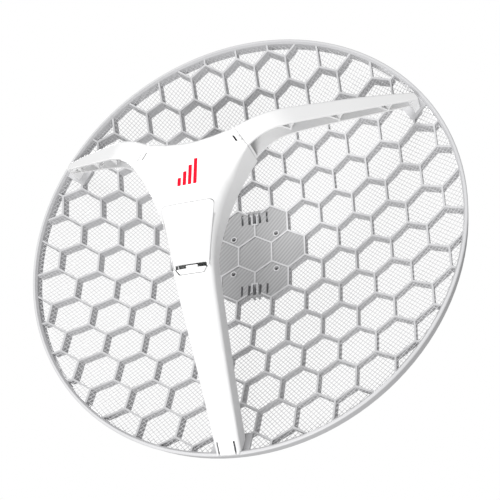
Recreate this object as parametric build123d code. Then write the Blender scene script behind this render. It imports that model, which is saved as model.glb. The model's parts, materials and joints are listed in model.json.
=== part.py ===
"""Parabolic grid antenna: a honeycomb dish, a three-legged feed head and a pole bracket with hose clamps.

Everything is drawn in the beam frame: X to the right, Y up, Z ahead of the dish, origin at the dish's vertex.
The last step turns each piece into the part's own frame: +Z up, the beam leaving towards -Y,
and the origin on the pole's axis, level with the dish's centre.
"""
from build123d import *
import math
import os

# Dish
FOCAL_LENGTH = 221.0
CELL_PITCH = 45.0
RIB_THICKNESS = 2.2
RIB_DEPTH = 13.5
DISH_INNER_RADIUS = 270.0
RIM_OUTER_RADIUS = 274.6
RIM_BACK_RADIUS = 273.2
RIM_FRONT = 86.0
RIM_BACK = 68.0
RIM_STEP = 75.0
MESH_SINK = 1.2
MESH_THICKNESS = 0.8
HUB_PLATE_THICKNESS = 2.4
PAD_START = 248.0
PAD_SIDES = {270: (-21.5, 21.5), 30: (-17.5, 8.0), 150: (-8.0, 17.5)}

# Bracket, pole and hose clamps
BRACKET_FRONT = -14.2
BRACKET_BASE_THICKNESS = 4.0
BRACKET_TOP = 68.0
BRACKET_FOOT = -50.0
BRACKET_HALF_WIDTH = 37.0
V_TOP = 54.0
V_FOOT = -36.0
SCREW_X = 29.0
SCREW_Y = 25.0
SCREW_RING_RADIUS = 4.3
SCREW_BORE_RADIUS = 2.8
SCREW_SEAT = -8.0
SCREW_SHANK_RADIUS = 1.45
INSERT_RADIUS = 2.4
POLE_RADIUS = 21.2
V_APEX = -25.0
POLE_BEHIND = -V_APEX + POLE_RADIUS * math.sqrt(2)
PRONG_TIP = -43.2
PRONG_HALF_WIDTH = 20.4
CLAMP_HEIGHTS = {"upper": 44.0, "lower": -9.0}
BAND_WIDTH = 12.7
BAND_THICKNESS = 0.7
BAND_RUN = -19.7
WORM_RADIUS = 3.0
WORM_OFFSET = POLE_RADIUS + BAND_THICKNESS + 0.4 + WORM_RADIUS

# Feed head, leg and arms
HEAD_FRONT = 218.7
HEAD_REAR = 184.0
LEG_SLOPE = 0.69
LEG_FOOT_RADIUS = 270.5
LEG_FOOT_FRONT = 91.2
LEG_BEND_RADIUS = 200.0
ARM_BEND_RADIUS = 150.0
WALL = 2.4
SHOULDER_RADIUS = 9.0
SEAM = 65.6
ARM_TIP = 264.0
ARM_WALL = 2.2
REAR_LINE = (246.0, 80.4)
ARM_REAR = [(20, 190), (70, 188), (100, 183), (129, 169), (185, 134), (240, 98.5), (280, 74)]
RIM_KEEP_OUT = [(269, 60), (277, 60), (277, RIM_FRONT + 0.2), (269, RIM_FRONT + 0.2)]
HEAD_TOP = 44.1
GAP = 0.3
ARM_ANGLES = {"arm_right": 30, "arm_left": 150}

# Port door and its latch
DOOR_TOP = -40.6
DOOR_BOTTOM = -113.2
DOOR_TOP_HALF = 30.2
DOOR_BOTTOM_HALF = 18.0
DOOR_THICKNESS = 2.0
DOOR_GAP = 0.4
HINGE_RADIUS = 2.2
HINGE_PIN_RADIUS = 1.2
LATCH_TOP = -103.5
LATCH_SLOT_BOTTOM = -107.4
LATCH_HALF_WIDTH = 17.0
LATCH_BRIDGE_HALF = 6.5
LATCH_GAP = 0.5

# Electronics
BOARD_REAR = 188.6
BOARD_THICKNESS = 1.6
BOARD_FRONT = BOARD_REAR + BOARD_THICKNESS
BOARD_POSTS = [(-30, 20), (30, 20), (-20, -33), (20, -33)]
COVER_POSTS = [(-40, 31), (40, 31), (0, -124)]
POST_SEAT = 3.8


def surface_depth(radius):
    """How far the paraboloid stands ahead of its vertex at a radius."""
    return radius * radius / (4 * FOCAL_LENGTH)


def bowl(front, back, radius):
    """A paraboloid skin between two offsets along the beam, out to a radius."""
    steps = [radius * i / 12 for i in range(13)]
    end = (1, radius / (2 * FOCAL_LENGTH))
    with BuildPart() as skin:
        with BuildSketch(Plane.XZ):
            with BuildLine():
                upper = Spline(*[(r, surface_depth(r) + front) for r in steps], tangents=[(1, 0), end])
                lower = Spline(*[(r, surface_depth(r) + back) for r in steps], tangents=[(1, 0), end])
                Line(upper @ 0, lower @ 0)
                Line(upper @ 1, lower @ 1)
            make_face()
        revolve(axis=Axis.Z)
    return skin.part


def prism(sketch, low, high):
    """A flat outline swept along the beam from one depth to another."""
    return extrude(sketch, high - low, dir=(0, 0, 1)).moved(Location((0, 0, low)))


def ring(points):
    """A closed (radius, depth) outline turned about the beam axis."""
    with BuildPart() as turned:
        with BuildSketch(Plane.XZ):
            with BuildLine():
                Polyline(*points, close=True)
            make_face()
        revolve(axis=Axis.Z)
    return turned.part


def rod(radius, start, end):
    """A round bar between two points."""
    axis = Vector(*end) - Vector(*start)
    plane = Plane(origin=start, z_dir=axis)
    return extrude(plane * Circle(radius), axis.length)


def block(x_range, y_range, z_range):
    """A box between three pairs of limits."""
    size = [high - low for low, high in (x_range, y_range, z_range)]
    middle = [(high + low) / 2 for low, high in (x_range, y_range, z_range)]
    return Box(*size).moved(Location(tuple(middle)))


def turned(shape, angle):
    """The shape turned about the beam axis."""
    return shape.rotate(Axis.Z, angle)


# ---------------------------------------------------------------- dish

def cell_centres():
    """Centres of the honeycomb's cells, with one cell on the beam axis."""
    row_pitch = CELL_PITCH * math.sqrt(3) / 2
    centres = []
    for row in range(-8, 9):
        for column in range(-8, 9):
            x = (column + 0.5 * (row % 2)) * CELL_PITCH
            y = row * row_pitch
            if math.hypot(x, y) < DISH_INNER_RADIUS + 0.6 * CELL_PITCH:
                centres.append((x, y))
    return centres


def is_hub_cell(centre):
    return math.hypot(*centre) < 1.1 * CELL_PITCH


def hexagon_radius(width):
    return width / 2 / math.cos(math.pi / 6)


def pad_outline():
    """Outlines of the three solid pads where the leg and the arms stand on the dish."""
    outline = Sketch()
    for angle, (low, high) in PAD_SIDES.items():
        pad = Rectangle(280 - PAD_START, high - low).moved(Location(((280 + PAD_START) / 2, (low + high) / 2)))
        outline += turned(pad, angle)
    return outline & Circle(DISH_INNER_RADIUS + 0.5)


def foot_tongue(clearance, angle):
    """The tongue under a foot, or with a clearance the slot in the dish that takes it."""
    middle = {270: 0.0, 30: -6.5, 150: 6.5}[angle]
    half_width = 5.0 + clearance
    half_depth = 1.5 + clearance
    tongue = block((258 - half_depth, 258 + half_depth), (middle - half_width, middle + half_width), (64, 77.5))
    return turned(tongue, angle)


def strap_slots():
    """Five narrow upright slots above the hub's centre and five below."""
    slots = Part()
    for side in (-1, 1):
        for x, half_width in ((-17, 1.4), (-7.3, 1.7), (0, 2.4), (7.3, 1.7), (17, 1.4)):
            slots += block((x - half_width, x + half_width), (side * 51 - 7.5, side * 51 + 7.5), (-20, 10))
    return slots


def screw_places():
    return [(x, y) for x in (-SCREW_X, SCREW_X) for y in (-SCREW_Y, SCREW_Y)]


def rim():
    """The rounded lip and its skirt."""
    return ring([
        (DISH_INNER_RADIUS - 0.6, RIM_BACK),
        (DISH_INNER_RADIUS - 0.6, 82.6),
        (DISH_INNER_RADIUS + 1.2, RIM_FRONT - 0.3),
        (DISH_INNER_RADIUS + 1.8, RIM_FRONT),
        (RIM_OUTER_RADIUS - 1.2, RIM_FRONT),
        (RIM_OUTER_RADIUS - 0.3, RIM_FRONT - 0.5),
        (RIM_OUTER_RADIUS, RIM_FRONT - 1.5),
        (RIM_BACK_RADIUS, RIM_BACK),
    ])


def rim_step():
    """The step behind the lip, which leaves the skirt thin."""
    inner, outer = DISH_INNER_RADIUS - 1.0, RIM_BACK_RADIUS - 1.5
    return ring([(inner, 60), (outer, 60), (outer, RIM_STEP), (inner, RIM_STEP)])


def strap_walls():
    """The low U-shaped walls beside the middle slots."""
    walls = Part()
    for side in (-1, 1):
        for x in (-3.4, 3.4):
            walls += block((x - 0.9, x + 0.9), (side * 51 - 9.5, side * 51 + 9.5), (-12, 2.6))
        walls += block((-3.4, 3.4), (side * 42.4 - 0.9, side * 42.4 + 0.9), (-12, 2.0))
    return walls


def bridges():
    """Outline of the hub plate's bulges over the notches above and below it."""
    bridge = Polygon((-14, 46), (14, 46), (14, 59), (11, 61.5), (-11, 61.5), (-14, 59), align=None)
    return bridge + bridge.mirror(Plane.XZ)


def open_cells(width):
    """Outlines of the cells that hold mesh, each inside the rim and clear of the pads and the hub."""
    rim_circle = Circle(DISH_INNER_RADIUS - 0.6)
    solid_places = pad_outline() + bridges()
    outlines = []
    for centre in cell_centres():
        radius = math.hypot(*centre)
        if is_hub_cell(centre) or radius > DISH_INNER_RADIUS + 0.4 * CELL_PITCH:
            continue
        outline = RegularPolygon(hexagon_radius(width), 6, rotation=30).moved(Location(centre))
        if radius > DISH_INNER_RADIUS - CELL_PITCH:
            outline = outline & rim_circle
        if radius > PAD_START - CELL_PITCH or radius < 2 * CELL_PITCH:
            outline = outline - solid_places
        outlines += [face for face in outline.faces() if face.area > 20]
    return outlines


def filled_cells():
    """Outlines of the hub's cells and of the parts of cells under the pads and bridges."""
    width = CELL_PITCH - RIB_THICKNESS
    hub = Sketch()
    beside_hub = Sketch()
    beside_rim = Sketch()
    for centre in cell_centres():
        outline = RegularPolygon(hexagon_radius(width), 6, rotation=30).moved(Location(centre))
        radius = math.hypot(*centre)
        if is_hub_cell(centre):
            hub += outline
        elif radius < 2 * CELL_PITCH:
            beside_hub += outline
        elif PAD_START - CELL_PITCH < radius:
            beside_rim += outline
    hub += beside_hub & bridges()
    return hub, beside_rim & pad_outline() & Circle(DISH_INNER_RADIUS - 0.6)


def hub_bosses():
    """Four round bosses behind the hub plate for the bracket's screws, each with a low ring in front."""
    bosses = Part()
    for x, y in screw_places():
        bosses += rod(5.8, (x, y, BRACKET_FRONT), (x, y, -1.5))
        bosses += rod(SCREW_RING_RADIUS, (x, y, -2.0), (x, y, 1.4))
    return bosses


def hub_cutters():
    """What is cleared ahead of and behind the hub plate, and the holes through it."""
    hub, beside_rim = filled_cells()
    kept = hub_bosses() + strap_walls()
    ahead = prism(hub, -20, 40) & bowl(9, -MESH_SINK, 100)
    behind = prism(hub, -20, 40) & bowl(-MESH_SINK - HUB_PLATE_THICKNESS, -19, 100)
    cutters = [ahead - kept, behind - kept, strap_slots()]
    for x, y in screw_places():
        cutters.append(rod(SCREW_BORE_RADIUS, (x, y, SCREW_SEAT), (x, y, 5.0)))
        cutters.append(rod(SCREW_SHANK_RADIUS + 0.25, (x, y, BRACKET_FRONT - 1), (x, y, 5.0)))
    return cutters


def pad_cutters():
    """What is cleared ahead of and behind the foot pads, and the slots for the feet's tongues."""
    hub, beside_rim = filled_cells()
    reach = DISH_INNER_RADIUS + 5
    sockets = Part()
    cutters = []
    for angle in PAD_SIDES:
        sockets += turned(block((252, 264), (-14, 14), (-20, 100)), angle)
        cutters.append(foot_tongue(0.2, angle))
    cutters.append(bowl(9, -0.3, reach) & prism(beside_rim, -20, 100))
    cutters.append((bowl(-2.7, -19, reach) & prism(beside_rim, -20, 100)) - sockets)
    return cutters


def reflector_grid():
    """The moulded honeycomb with its rim, hub plate, screw bosses and foot pads."""
    stock = bowl(0, -RIB_DEPTH, DISH_INNER_RADIUS + 1) + rim() + hub_bosses()
    cells = [prism(face, -20, 100) for face in open_cells(CELL_PITCH - RIB_THICKNESS)]
    return stock - (cells + hub_cutters() + pad_cutters() + [rim_step()])


def reflector_mesh():
    """The wire mesh, as one thin panel in each open cell."""
    panels = []
    for face in open_cells(CELL_PITCH - RIB_THICKNESS - 0.1):
        middle = face.center()
        depth = surface_depth(math.hypot(middle.X, middle.Y)) - MESH_SINK - MESH_THICKNESS / 2
        normal = (-middle.X / (2 * FOCAL_LENGTH), -middle.Y / (2 * FOCAL_LENGTH), 1)
        sheet = Plane(origin=(middle.X, middle.Y, depth), z_dir=normal) * Box(80, 80, MESH_THICKNESS)
        panels += (prism(face, -20, 100) & sheet).solids()
    return Compound(children=panels)


# ---------------------------------------------------------------- bracket and clamps

def bracket_base():
    """The flat plate under the hub."""
    base_back = BRACKET_FRONT - BRACKET_BASE_THICKNESS
    plate = block((-BRACKET_HALF_WIDTH, BRACKET_HALF_WIDTH), (BRACKET_FOOT, BRACKET_TOP), (base_back, BRACKET_FRONT))
    return fillet(plate.edges().filter_by(Axis.Z), 8)


def v_block():
    """The V-block that the pole lies in, open behind the base where the clamp bands pass."""
    outline = Polygon(
        (-PRONG_HALF_WIDTH, PRONG_TIP), (-PRONG_HALF_WIDTH, -30), (-9, -20.8), (9, -20.8),
        (PRONG_HALF_WIDTH, -30), (PRONG_HALF_WIDTH, PRONG_TIP), (18.2, PRONG_TIP), (0, V_APEX), (-18.2, PRONG_TIP),
        align=None)
    jaw = extrude(Plane.XZ * outline, V_TOP - V_FOOT, both=True)
    jaw = jaw & block((-40, 40), (V_FOOT, V_TOP), (-60, 0))
    zone = BAND_WIDTH / 2 + 1.2
    ends = [V_FOOT]
    for height in sorted(CLAMP_HEIGHTS.values()):
        ends += [height - zone, height + zone]
    ends.append(V_TOP)
    for low, high in zip(ends[::2], ends[1::2]):
        jaw += block((-14, 14), (low, high), (-21.5, BRACKET_FRONT - BRACKET_BASE_THICKNESS + 0.5))
    return jaw


def pole_bracket():
    """The V-block that seats on the pole, on a base plate screwed to the hub."""
    base_back = BRACKET_FRONT - BRACKET_BASE_THICKNESS
    bracket = bracket_base() + v_block()
    for y in (-32, -19, 3, 18, 33):
        rib = Polygon((-36, base_back + 0.2), (36, base_back + 0.2), (36, -21), (21, -36), (19, -36),
                      (9, -26), (-9, -26), (-19, -36), (-21, -36), (-36, -21), align=None)
        bracket += extrude(Plane.XZ * rib, 1.25, both=True).moved(Location((0, y, 0)))
    for x, y in screw_places():
        bracket += rod(5.5, (x, y, base_back), (x, y, -27))
        bracket -= rod(INSERT_RADIUS, (x, y, BRACKET_FRONT + 1), (x, y, -23.2))
    v_space = Polygon((-22, -47), (0, V_APEX), (22, -47), align=None)
    return bracket - extrude(Plane.XZ * v_space, 80, both=True)


def bracket_inserts():
    """Brass threaded inserts in the bracket's bosses."""
    inserts = []
    for x, y in screw_places():
        sleeve = rod(INSERT_RADIUS, (x, y, BRACKET_FRONT), (x, y, -23.2))
        sleeve -= rod(SCREW_SHANK_RADIUS, (x, y, 0), (x, y, -24))
        inserts.append(sleeve.solid())
    return Compound(children=inserts)


def cap_screw(x, y):
    """A socket-head screw along the beam, from the hub's counterbore into the bracket."""
    head_radius = SCREW_BORE_RADIUS - 0.15
    screw = rod(head_radius, (x, y, SCREW_SEAT + 3.0), (x, y, SCREW_SEAT))
    screw += rod(SCREW_SHANK_RADIUS, (x, y, SCREW_SEAT), (x, y, -22.5))
    socket = RegularPolygon(head_radius * 0.5, 6).moved(Location((x, y)))
    return screw - prism(socket, SCREW_SEAT + 1.2, 0)


def bracket_screws():
    """Four M3 screws that hold the bracket under the hub."""
    return Compound(children=[cap_screw(x, y).solid() for x, y in screw_places()])


def clamp_band(centre_y):
    """A closed steel band round the pole and through the bracket."""
    def loop(radius, run, corner):
        with BuildSketch(Plane.XZ) as outline:
            with BuildLine():
                side = Line((radius, -POLE_BEHIND), (radius, run - corner))
                turn = RadiusArc(side @ 1, (radius - corner, run), -corner)
                across = Line(turn @ 1, (corner - radius, run))
                back = RadiusArc(across @ 1, (-radius, run - corner), -corner)
                down = Line(back @ 1, (-radius, -POLE_BEHIND))
                ThreePointArc(down @ 1, (0, -POLE_BEHIND - radius), side @ 0)
            make_face()
        return outline.sketch
    half = BAND_THICKNESS / 2
    outer = loop(POLE_RADIUS + BAND_THICKNESS, BAND_RUN + half, 4.0)
    inner = loop(POLE_RADIUS, BAND_RUN - half, 4.0 - BAND_THICKNESS)
    band = extrude(outer - inner, BAND_WIDTH / 2, both=True)
    return band.moved(Location((0, centre_y, 0)))


def clamp_housing(centre_y):
    """The pressed housing that carries the worm screw on the band."""
    axis_z = -POLE_BEHIND - WORM_OFFSET
    outer_z = -POLE_BEHIND - POLE_RADIUS - BAND_THICKNESS
    shell = block((-7, 7), (-6.9, 6.9), (axis_z - WORM_RADIUS - 1.3, outer_z))
    shell = fillet(shell.edges().filter_by(Axis.X).group_by(Axis.Z)[0], 3.2)
    shell -= rod(WORM_RADIUS + GAP, (-5, 0, axis_z), (5, 0, axis_z))
    shell -= rod(2.06, (-9, 0, axis_z), (9, 0, axis_z))
    shell -= block((-5, 5), (-2.2, 2.2), (axis_z, outer_z + 1))
    reach = POLE_RADIUS + BAND_THICKNESS
    shell -= rod(reach, (0, -9, -POLE_BEHIND), (0, 9, -POLE_BEHIND))
    return shell.moved(Location((0, centre_y, 0)))


def clamp_screw(centre_y):
    """The worm screw of a hose clamp, with a slotted hexagon head."""
    axis_z = -POLE_BEHIND - WORM_OFFSET
    screw = rod(WORM_RADIUS - 0.5, (-4.7, 0, axis_z), (4.7, 0, axis_z))
    for turn in range(5):
        x = -3.9 + 1.9 * turn
        screw += ring([(2.3, -0.55), (WORM_RADIUS, -0.2), (WORM_RADIUS, 0.2), (2.3, 0.55)]).rotate(
            Axis.Y, 90).moved(Location((x, 0, axis_z)))
    screw += rod(2.0, (-7.6, 0, axis_z), (8.0, 0, axis_z))
    head = Plane(origin=(7.4, 0, axis_z), z_dir=(1, 0, 0)) * extrude(RegularPolygon(hexagon_radius(7.0), 6), 5.0)
    slot = block((11.0, 13.0), (-5, 5), (axis_z - 0.6, axis_z + 0.6))
    return (screw + head - slot).moved(Location((0, centre_y, 0)))


# ---------------------------------------------------------------- head, leg and arms

def bent_front(inset, bend_radius):
    """The (outward, depth) corner line of the head's front: level, then falling to a foot."""
    steep = math.hypot(1, LEG_SLOPE)
    level = HEAD_FRONT - inset
    line_at_zero = LEG_FOOT_FRONT + LEG_SLOPE * LEG_FOOT_RADIUS - inset * steep
    corner = (line_at_zero - level) / LEG_SLOPE
    end = 300.0
    return (-end, level), (corner, level), (end, line_at_zero - LEG_SLOPE * end), bend_radius - inset


def front_envelope(inset, bend_radius, angle):
    """Everything behind the front surface of the leg or of an arm at an angle round the beam."""
    start, corner, end, radius = bent_front(inset, bend_radius)
    with BuildSketch(Plane.XZ) as outline:
        with BuildLine():
            front = FilletPolyline(start, corner, end, radius=radius)
            Polyline(front @ 1, (end[0], -170), (start[0], -170), front @ 0)
        make_face()
    return turned(extrude(outline.sketch, 300, both=True), angle)


def crown(inset):
    """The three front surfaces together, which make the head's soft three-sided crown."""
    solid = front_envelope(inset, LEG_BEND_RADIUS, 270)
    for angle in ARM_ANGLES.values():
        solid = solid & front_envelope(inset, ARM_BEND_RADIUS, angle)
    return solid


def head_outline():
    """Front view of the head and leg."""
    with BuildSketch() as outline:
        with BuildLine():
            Polyline((0, -273.6), (11.8, -273.6), (13.9, -269.6))
            ThreePointArc((13.9, -269.6), (17.3, -190), (23, -104))
            flare = ThreePointArc((23, -104), (31.2, -60), (66.7, 15.5))
            Line(flare @ 1, (50.4, HEAD_TOP))
            ThreePointArc((50.4, HEAD_TOP), (25.5, 37.3), (0, 35))
            Line((0, 35), (0, -273.6))
        make_face()
        mirror(about=Plane.YZ)
    return outline.sketch


def rear_envelope(inset):
    """Everything ahead of the rear surface of the head and leg."""
    reach, depth = REAR_LINE
    corner = reach - (HEAD_REAR - depth) / LEG_SLOPE
    steep = inset * math.hypot(1, LEG_SLOPE)
    shift = (steep - inset) / LEG_SLOPE
    end = 290.0
    with BuildSketch(Plane.XZ) as outline:
        with BuildLine():
            rear = FilletPolyline((-70, HEAD_REAR + inset), (corner + shift, HEAD_REAR + inset),
                                  (end, depth - LEG_SLOPE * (end - reach) + steep), radius=60)
            Polyline(rear @ 1, (end, 240), (-70, 240), rear @ 0)
        make_face()
    return turned(extrude(outline.sketch, 150, both=True), 270)


def rear_depth(y):
    """Depth of the rear surface of the head and leg, away from its bend."""
    reach, depth = REAR_LINE
    return min(HEAD_REAR, depth + LEG_SLOPE * (reach + y))


def dish_volume():
    """The space of the dish, which the feet must keep clear of."""
    return bowl(0.02, -60, 290) + ring(RIM_KEEP_OUT)


def door_outline(grow):
    """Front view of the port door: a rounded trapezium, wide end up."""
    corner = DOOR_BOTTOM + 8
    outline = Polygon(
        (-DOOR_TOP_HALF - grow, DOOR_TOP + grow), (DOOR_TOP_HALF + grow, DOOR_TOP + grow),
        (DOOR_BOTTOM_HALF + 1.2 + grow, corner), (DOOR_BOTTOM_HALF - 4.5 + grow, DOOR_BOTTOM - grow),
        (-DOOR_BOTTOM_HALF + 4.5 - grow, DOOR_BOTTOM - grow), (-DOOR_BOTTOM_HALF - 1.2 - grow, corner),
        align=None)
    top = outline.vertices().group_by(Axis.Y)[-1]
    low = outline.vertices().group_by(Axis.Y)[1]
    return fillet(top + low, 4.5)


def hinge_axis():
    """Depth and height of the door's hinge axis."""
    return DOOR_TOP - HINGE_RADIUS, HEAD_FRONT - HINGE_RADIUS


def front_edges(solid):
    """The long edges between the front surface and the side walls of the head and leg."""
    picked = []
    for edge in solid.edges():
        middle = edge @ 0.5
        beside = abs(middle.X) > 13 and middle.Y < 20 and edge.length > 8
        ahead = middle.Z > rear_depth(middle.Y) + 12
        if beside and ahead and edge.geom_type != GeomType.LINE:
            picked.append(edge)
    return picked


def rounded_body(inset):
    """The space inside the head and leg's outer surface, less an inset, open to the rear."""
    outline = offset(head_outline(), -inset) if inset else head_outline()
    body = prism(outline, 0, 240) & crown(inset)
    return fillet(front_edges(body), SHOULDER_RADIUS - inset)


def latch_slits():
    """The two slits in the head's front over the arms' snap hooks."""
    slits = Part()
    for angle in ARM_ANGLES.values():
        slit = block((58.2, 60.2), (-7.6, 2.2), (205, 230))
        if angle == 150:
            slit = slit.mirror(Plane.XZ)
        slits += turned(slit, angle)
    return slits


def spigot(grow, angle):
    """The tongue of an arm that plugs into the head, or grown by a clearance, its socket."""
    tongue = block((44, 67), (-12 - grow, 2.5 + grow), (197 - grow, 206 + grow))
    if angle == 150:
        tongue = tongue.mirror(Plane.XZ)
    return turned(tongue, angle)


def foot_slits():
    """The two slits that free a snap tab at the end of the leg's foot."""
    slit = block((8.3, 10.3), (-275, -261.6), (88.5, 110))
    return slit + slit.mirror(Plane.YZ)


def front_cover():
    """The white shell of the head and leg: front and side walls."""
    outer = rounded_body(0) & rear_envelope(0)
    inner = rounded_body(WALL)
    sole = Rectangle(40, 38.4).moved(Location((0, -235.6 - 19.2))) & head_outline()
    sole = bowl(2.4, 0.02, 280) & prism(sole, 0, 240)
    cover = outer - inner - dish_volume() + sole - ring(RIM_KEEP_OUT) + foot_tongue(0, 270)
    hinge_y, hinge_z = hinge_axis()
    for side in (-1, 1):
        lug = block((30.9, 35.4), (hinge_y - 3.2, hinge_y + 3.6), (hinge_z - 3.2, HEAD_FRONT - 1.5))
        cover += lug if side > 0 else lug.mirror(Plane.YZ)
    for x, y in BOARD_POSTS:
        cover += rod(3.2, (x, y, BOARD_FRONT), (x, y, 217)) & crown(1.0)
    cover -= prism(door_outline(DOOR_GAP), 180, 240)
    cover -= rod(HINGE_PIN_RADIUS + 0.06, (-36, hinge_y, hinge_z), (36, hinge_y, hinge_z))
    cover -= latch_slits()
    cover -= foot_slits()
    for angle in ARM_ANGLES.values():
        cover -= spigot(0.15, angle)
    for x, y in BOARD_POSTS:
        cover -= rod(1.0, (x, y, BOARD_FRONT - 1), (x, y, 204))
    for x, y in COVER_POSTS:
        seat = rear_depth(y) + POST_SEAT
        post = rod(3.0, (x, y, seat), (x, y, 217)) & crown(1.0)
        cover += post - rod(1.05, (x, y, seat - 1), (x, y, seat + 12))
    return cover


def rear_cover():
    """The plate that closes the head and leg on the dish's side, with a low dome over the feed."""
    outline = offset(head_outline(), -WALL - 0.1) & Rectangle(160, 290).moved(Location((0, -90)))
    skin = prism(outline, 0, 240) & (rear_envelope(0) - rear_envelope(WALL))
    dome = fillet(block((-30, 30), (-36, 24), (HEAD_REAR - 4, HEAD_REAR + 1)).edges().filter_by(Axis.Z), 10)
    dome = chamfer(dome.edges().group_by(Axis.Z)[0], 2.5)
    room = block((-27.5, 27.5), (-33.5, 21.5), (HEAD_REAR - 1.8, HEAD_REAR + 3))
    cover = skin + dome - room
    cable_exit = block((-7, 7), (-232, -216), (60, 120))
    for x, y in COVER_POSTS:
        level = rear_depth(y)
        cover += rod(4.2, (x, y, level - 4), (x, y, level + POST_SEAT)) & rear_envelope(0)
        cover -= rod(1.3, (x, y, level - 5), (x, y, level + 5))
        cover -= rod(2.4, (x, y, level - 5), (x, y, level + 1.8))
    return cover - dish_volume() - cable_exit


def arm_outline():
    """Front view of an arm lying along +X, from the seam to the tip."""
    with BuildSketch() as outline:
        with BuildLine():
            lower = TangentArc((SEAM + 0.2, -19.7), (110, -11.8), tangent=(1, 0.41))
            Polyline(lower @ 1, (ARM_TIP - 1.5, -13.6), (ARM_TIP, -12.0), (ARM_TIP, -1.0), (ARM_TIP - 1.5, 0.6))
            ThreePointArc((ARM_TIP - 1.5, 0.6), (212, 8.2), (150, 13.0))
            ThreePointArc((150, 13.0), (105, 14.8), (SEAM + 0.2, 13.0))
            Line((SEAM + 0.2, 13.0), lower @ 0)
        make_face()
    return outline.sketch


def arm_profile(front_inset, rear_inset):
    """Side view of an arm: the band between its front and rear surfaces."""
    start, corner, end, radius = bent_front(front_inset, ARM_BEND_RADIUS)
    rear_points = [(s, z + rear_inset) for s, z in ARM_REAR]
    with BuildSketch(Plane.XZ) as outline:
        with BuildLine():
            front = FilletPolyline((rear_points[0][0], start[1]), corner, end, radius=radius)
            rear = Spline(*rear_points)
            Line(front @ 0, rear @ 0)
            Line(front @ 1, rear @ 1)
        make_face()
    return outline.sketch


def gusset(station):
    """A V-shaped web inside an arm, its point on the rear wall."""
    depth_front = LEG_FOOT_FRONT + LEG_SLOPE * (LEG_FOOT_RADIUS - station)
    def web(inset):
        with BuildSketch(Plane.XZ) as outline:
            with BuildLine():
                left = (station - 13 + inset * 1.6, depth_front + 10)
                right = (station + 15 - inset * 1.6, depth_front - 9)
                point = (station + 3, depth_front - 17 + inset * 2.2)
                ThreePointArc(left, (station - 2 + inset * 0.6, depth_front - 7.5 + inset), point)
                ThreePointArc(point, (station + 7 - inset * 0.6, depth_front - 10.5 + inset), right)
                Line(right, left)
            make_face()
        return outline.sketch
    return extrude(web(0) - web(1.5), 40, both=True)


def arm_hollow_plan():
    """Front view of the space inside an arm, which runs out through its lower side."""
    outline = arm_outline()
    inside = outline.moved(Location((0, -ARM_WALL))) + outline.moved(Location((0, -ARM_WALL - 10)))
    start, end = SEAM + 2.8, ARM_TIP - 9.0
    return inside & Rectangle(end - start, 120).moved(Location(((start + end) / 2, 0)))


def long_front_edges(solid, low, high):
    """The long front edges of an arm lying along +X, between two offsets across it."""
    picked = []
    for edge in solid.edges():
        middle = edge @ 0.5
        front = LEG_FOOT_FRONT + LEG_SLOPE * (LEG_FOOT_RADIUS - middle.X)
        if edge.length > 15 and low < middle.Y < high and middle.Z > front - 9 and middle.X > 70:
            picked.append(edge)
    return picked


def arm(angle):
    """A hollow arm, open along its lower side, with a flange at the seam and a foot at the tip."""
    envelope = extrude(arm_profile(0, 0), 40, both=True) & prism(arm_outline(), 0, 240)
    envelope = fillet(long_front_edges(envelope, 5, 20), 5.0)
    envelope = fillet(long_front_edges(envelope, -30, -5), 1.2)
    hollow = extrude(arm_profile(ARM_WALL, 2.0), 60, both=True) & prism(arm_hollow_plan(), 0, 240)
    shell = envelope - hollow
    for station in (112, 165, 222):
        shell += gusset(station) & envelope
    foot = prism(arm_outline() & Rectangle(9, 60).moved(Location((ARM_TIP - 4.5, 0))), 60, 90)
    shell += foot & extrude(arm_profile(0.5, -20), 40, both=True)
    hook = block((57.6, 60.6), (-6.5, 1.5), (205.5, 209))
    if angle == 150:
        shell = shell.mirror(Plane.XZ)
        hook = hook.mirror(Plane.XZ)
    shell = turned(shell, angle) - dish_volume()
    return shell + spigot(0, angle) + turned(hook, angle) + foot_tongue(0, angle)


def port_door():
    """The door over the network port, with a rounded upper edge that turns in the cover."""
    hinge_y, hinge_z = hinge_axis()
    plate = prism(door_outline(0), 150, 240) & (rounded_body(0) - rounded_body(DOOR_THICKNESS))
    plate -= block((-50, 50), (hinge_y, 0), (150, 240))
    bead_half = DOOR_TOP_HALF - 4.9
    bead = rod(HINGE_RADIUS, (-bead_half, hinge_y, hinge_z), (bead_half, hinge_y, hinge_z))
    pins = rod(HINGE_PIN_RADIUS, (-34.6, hinge_y, hinge_z), (34.6, hinge_y, hinge_z))
    ribs = Part()
    for x in (-12, 12):
        ribs += block((x - 0.7, x + 0.7), (-98, -48), (200, 216)) & (crown(1.0) - crown(5.0))
    slot = block((-LATCH_HALF_WIDTH - 0.5, LATCH_HALF_WIDTH + 0.5), (DOOR_BOTTOM - 5, LATCH_TOP), (150, 240))
    return plate + bead + pins + ribs - slot


def door_latch():
    """The sprung lever at the door's foot: a neck, a finger pad and a hook behind it."""
    skin = rounded_body(0) - rounded_body(DOOR_THICKNESS)
    neck = block((-LATCH_BRIDGE_HALF, LATCH_BRIDGE_HALF), (DOOR_BOTTOM, LATCH_TOP - LATCH_GAP), (150, 240))
    pad = block((-LATCH_HALF_WIDTH + 0.3, LATCH_HALF_WIDTH - 0.3), (DOOR_BOTTOM, LATCH_SLOT_BOTTOM), (150, 240))
    lever = prism(door_outline(0), 150, 240) & skin & (neck + pad)
    hook = block((-5, 5), (DOOR_BOTTOM - 1.2, DOOR_BOTTOM + 2.0), (191.9, 193.6))
    stem = block((-5, 5), (DOOR_BOTTOM + 0.4, DOOR_BOTTOM + 2.0), (191.9, 199)) & crown(0.8)
    return lever + hook + stem


# ---------------------------------------------------------------- electronics

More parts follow.
